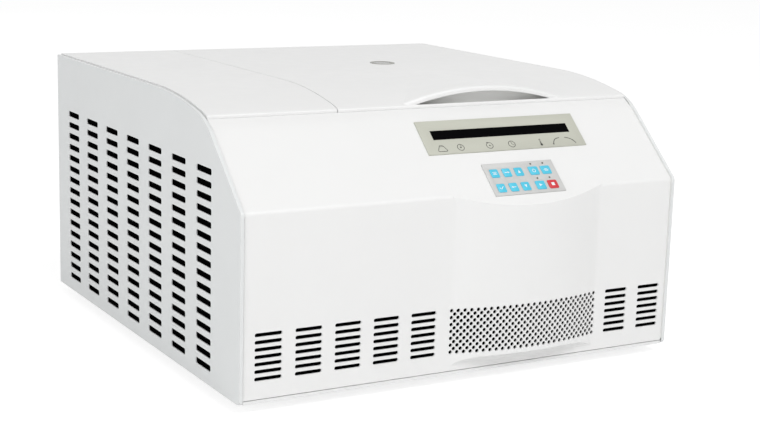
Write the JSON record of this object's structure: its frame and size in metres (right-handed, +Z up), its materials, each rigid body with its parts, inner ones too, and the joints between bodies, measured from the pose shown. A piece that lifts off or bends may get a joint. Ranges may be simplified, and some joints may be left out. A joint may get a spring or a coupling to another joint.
{
  "type": "microplate centrifuge",
  "caption": "Refrigerated bench-top microplate centrifuge: sloped control panel on a bulged, grilled front, louvred sides, back-hinged lid with sight glass over a swing-out rotor.",
  "frame": {"origin": "on the bench, under the middle of the machine's box", "axes": "+X to the right seen from the front, +Y from the front to the back, +Z up"},
  "size_m": [0.71, 0.742, 0.4034],
  "materials": {
    "white_plastic": "satin white moulding",
    "painted_steel": "white powder coat",
    "grey_painted_steel": "light grey powder coat",
    "zinc_steel": "zinc plated",
    "screw_steel": "bright steel",
    "black_rubber": "matt black",
    "display_sheet": "satin olive grey sheet",
    "keypad_sheet": "satin grey sheet",
    "dark_window": "dark window",
    "lamp": "unlit lamp",
    "cyan_key": "cyan",
    "red_key": "red",
    "green_board": "green board",
    "cast_aluminium": "cast",
    "rotor_aluminium": "anodised",
    "black_plastic": "black moulding",
    "liner_plastic": "grey moulding",
    "sight_glass": "smoked glass",
    "stainless": "stainless",
    "foam": "foam",
    "copper": "copper",
    "compressor_black": "black enamel"
  },
  "bodies": {
    "cabinet": {"base_tray": "painted_steel", "rubber_feet": "black_rubber", "left_side_panel": "grey_painted_steel", "right_side_panel": "grey_painted_steel", "rear_panel": "grey_painted_steel", "front_panel": "white_plastic", "top_cover": "white_plastic", "top_deck": "painted_steel", "partition_wall": "zinc_steel", "panel_screws": "screw_steel", "display_plate": "display_sheet", "display_window": "dark_window", "keypad_plate": "keypad_sheet", "indicator_lamps": "lamp", "control_board": "green_board", "drive_inverter": "cast_aluminium", "mains_inlet": "black_plastic", "hinge_brackets": "zinc_steel", "hinge_pins": "screw_steel", "hinge_washers": "screw_steel", "latch_housing": "zinc_steel", "chamber_bowl": "stainless", "chamber_insulation": "foam", "chamber_gasket": "black_rubber", "evaporator_coil": "copper", "motor_stand": "zinc_steel", "rubber_buffers": "black_rubber", "motor_plate": "zinc_steel", "motor_housing": "cast_aluminium", "shaft_boot": "black_rubber", "compressor": "compressor_black", "condenser": "cast_aluminium", "fan_shroud": "black_plastic", "refrigerant_pipes": "copper"},
    "lid": {"lid_shell": "white_plastic", "lid_liner": "liner_plastic", "lid_hinge_arms": "zinc_steel", "lid_striker": "zinc_steel", "sight_glass": "sight_glass", "sight_glass_ring": "black_rubber"},
    "rotor": {"drive_shaft": "screw_steel", "rotor_head": "rotor_aluminium", "rotor_nut": "black_plastic"},
    "plate_carrier_1": {"plate_carrier_1": "rotor_aluminium"},
    "plate_carrier_2": {"plate_carrier_2": "rotor_aluminium"},
    "plate_carrier_3": {"plate_carrier_3": "rotor_aluminium"},
    "plate_carrier_4": {"plate_carrier_4": "rotor_aluminium"},
    "condenser_fan": {"condenser_fan": "black_plastic"},
    "power_rocker": {"power_rocker": "black_plastic"},
    "latch_hook": {"latch_hook": "screw_steel"},
    "key_1_1": {"key_1_1": "cyan_key"},
    "key_1_2": {"key_1_2": "cyan_key"},
    "key_1_3": {"key_1_3": "cyan_key"},
    "key_1_4": {"key_1_4": "cyan_key"},
    "key_1_5": {"key_1_5": "cyan_key"},
    "key_2_1": {"key_2_1": "cyan_key"},
    "key_2_2": {"key_2_2": "cyan_key"},
    "key_2_3": {"key_2_3": "cyan_key"},
    "key_2_4": {"key_2_4": "cyan_key"},
    "key_2_5": {"key_2_5": "red_key"}
  },
  "joints": [
    {"name": "lid_hinge", "type": "hinge", "parent": "cabinet", "child": "lid", "pos_m": [0.0985, 0.358, 0.362], "axis": [-1, 0, 0], "range_deg": [0, 75]},
    {"name": "rotor_spin", "type": "hinge", "parent": "cabinet", "child": "rotor", "pos_m": [0.0985, 0.0889, 0.264], "axis": [0, 0, 1], "continuous": true},
    {"name": "condenser_fan_spin", "type": "hinge", "parent": "cabinet", "child": "condenser_fan", "pos_m": [-0.289, -0.173, 0.128], "axis": [1, 0, 0], "continuous": true},
    {"name": "power_rocker_tilt", "type": "hinge", "parent": "cabinet", "child": "power_rocker", "pos_m": [0.286, 0.362, 0.074], "axis": [1, 0, 0], "range_deg": [0, 16]},
    {"name": "latch_hook_turn", "type": "hinge", "parent": "cabinet", "child": "latch_hook", "pos_m": [0.093, -0.199, 0.314], "axis": [-1, 0, 0], "range_deg": [0, 30]},
    {"name": "carrier_1_swing", "type": "hinge", "parent": "rotor", "child": "plate_carrier_1", "pos_m": [0.2285, 0.0889, 0.264], "axis": [0, -1, 0], "range_deg": [0, 90]},
    {"name": "carrier_2_swing", "type": "hinge", "parent": "rotor", "child": "plate_carrier_2", "pos_m": [0.0985, 0.2189, 0.264], "axis": [1, 0, 0], "range_deg": [0, 90]},
    {"name": "carrier_3_swing", "type": "hinge", "parent": "rotor", "child": "plate_carrier_3", "pos_m": [-0.0315, 0.0889, 0.264], "axis": [0, 1, 0], "range_deg": [0, 90]},
    {"name": "carrier_4_swing", "type": "hinge", "parent": "rotor", "child": "plate_carrier_4", "pos_m": [0.0985, -0.0411, 0.264], "axis": [-1, 0, 0], "range_deg": [0, 90]},
    {"name": "key_1_1_press", "type": "slide", "parent": "cabinet", "child": "key_1_1", "axis": [0, 0.673, -0.7396], "range_m": [0, 0.0004], "stiffness_N_per_m": 200},
    {"name": "key_1_2_press", "type": "slide", "parent": "cabinet", "child": "key_1_2", "axis": [0, 0.673, -0.7396], "range_m": [0, 0.0004], "stiffness_N_per_m": 200},
    {"name": "key_1_3_press", "type": "slide", "parent": "cabinet", "child": "key_1_3", "axis": [0, 0.673, -0.7396], "range_m": [0, 0.0004], "stiffness_N_per_m": 200},
    {"name": "key_1_4_press", "type": "slide", "parent": "cabinet", "child": "key_1_4", "axis": [0, 0.673, -0.7396], "range_m": [0, 0.0004], "stiffness_N_per_m": 200},
    {"name": "key_1_5_press", "type": "slide", "parent": "cabinet", "child": "key_1_5", "axis": [0, 0.673, -0.7396], "range_m": [0, 0.0004], "stiffness_N_per_m": 200},
    {"name": "key_2_1_press", "type": "slide", "parent": "cabinet", "child": "key_2_1", "axis": [0, 0.673, -0.7396], "range_m": [0, 0.0004], "stiffness_N_per_m": 200},
    {"name": "key_2_2_press", "type": "slide", "parent": "cabinet", "child": "key_2_2", "axis": [0, 0.673, -0.7396], "range_m": [0, 0.0004], "stiffness_N_per_m": 200},
    {"name": "key_2_3_press", "type": "slide", "parent": "cabinet", "child": "key_2_3", "axis": [0, 0.673, -0.7396], "range_m": [0, 0.0004], "stiffness_N_per_m": 200},
    {"name": "key_2_4_press", "type": "slide", "parent": "cabinet", "child": "key_2_4", "axis": [0, 0.673, -0.7396], "range_m": [0, 0.0004], "stiffness_N_per_m": 200},
    {"name": "key_2_5_press", "type": "slide", "parent": "cabinet", "child": "key_2_5", "axis": [0, 0.673, -0.7396], "range_m": [0, 0.0004], "stiffness_N_per_m": 200}
  ]
}
